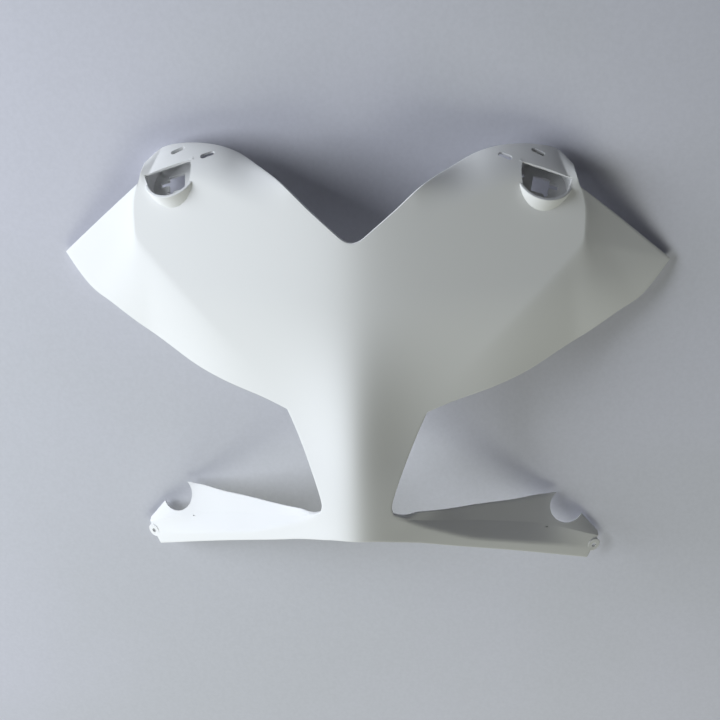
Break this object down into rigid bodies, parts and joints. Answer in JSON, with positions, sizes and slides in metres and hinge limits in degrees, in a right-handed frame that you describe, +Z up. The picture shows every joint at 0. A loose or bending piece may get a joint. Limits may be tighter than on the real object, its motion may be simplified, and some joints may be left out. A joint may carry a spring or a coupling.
{
  "type": "motorcycle front fairing",
  "caption": "One-piece moulded nose fairing with a central spine, two lobed wings with mirror bosses, two headlight openings and two lower arms.",
  "frame": {"origin": "middle of the box that the fairing fills", "axes": "+X across the bike to the right hand side of the front view, +Y back from the nose, square to the plane of the rear edges, +Z up that plane"},
  "size_m": [0.616, 0.1482, 0.491],
  "materials": {
    "painted_shell": "pearl white gloss paint with a clear coat, lightly scuffed"
  },
  "bodies": {
    "root": {"fairing": "painted_shell"}
  },
  "joints": []
}
